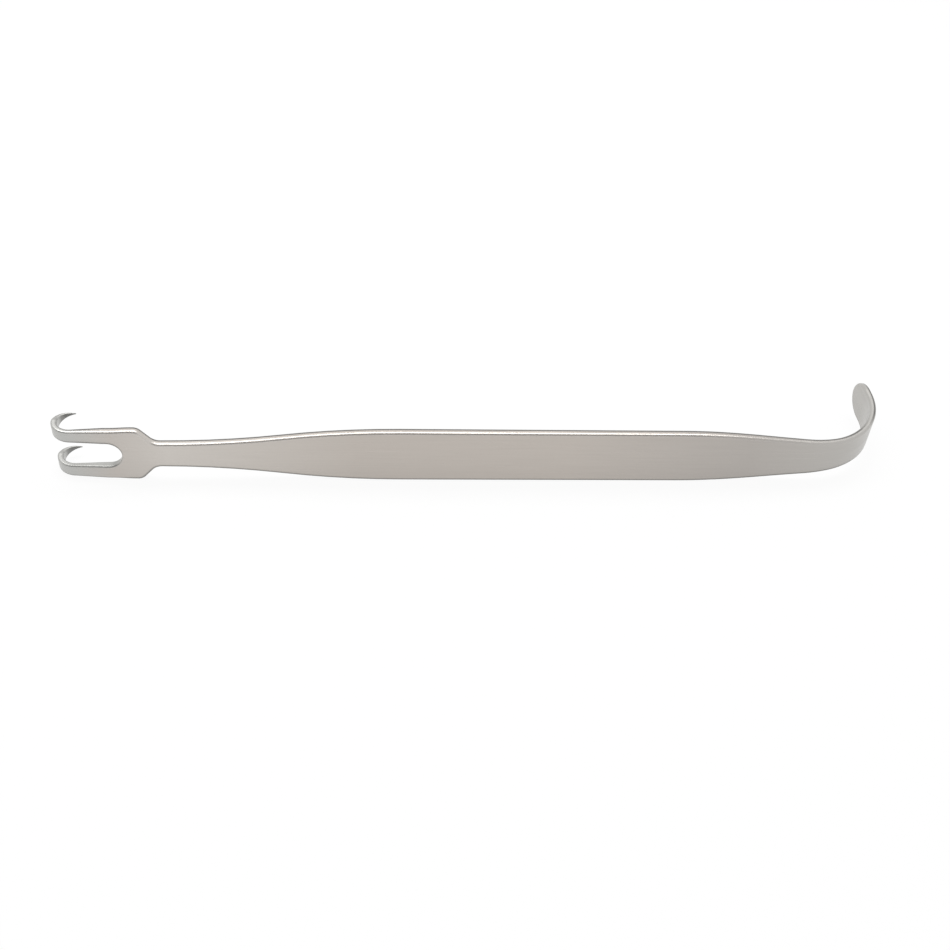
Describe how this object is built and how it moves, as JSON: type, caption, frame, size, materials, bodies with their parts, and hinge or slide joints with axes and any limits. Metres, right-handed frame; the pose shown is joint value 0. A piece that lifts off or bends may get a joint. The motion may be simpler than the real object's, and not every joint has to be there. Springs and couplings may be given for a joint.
{
  "type": "handheld surgical retractor",
  "caption": "Double-ended hand retractor: a flat handle with a fork of sharp hooks at one end and a bent, tongue-shaped blade at the other.",
  "frame": {"origin": "on the surface that the instrument lies on, under the centre of its box", "axes": "+X along the handle towards the blade, +Y the way the hooks and the blade turn, +Z across the strip's width, upwards"},
  "size_m": [0.15, 0.021, 0.0109],
  "materials": {
    "stainless_steel": "satin, brushed lengthwise"
  },
  "bodies": {
    "root": {"retractor": "stainless_steel"}
  },
  "joints": []
}
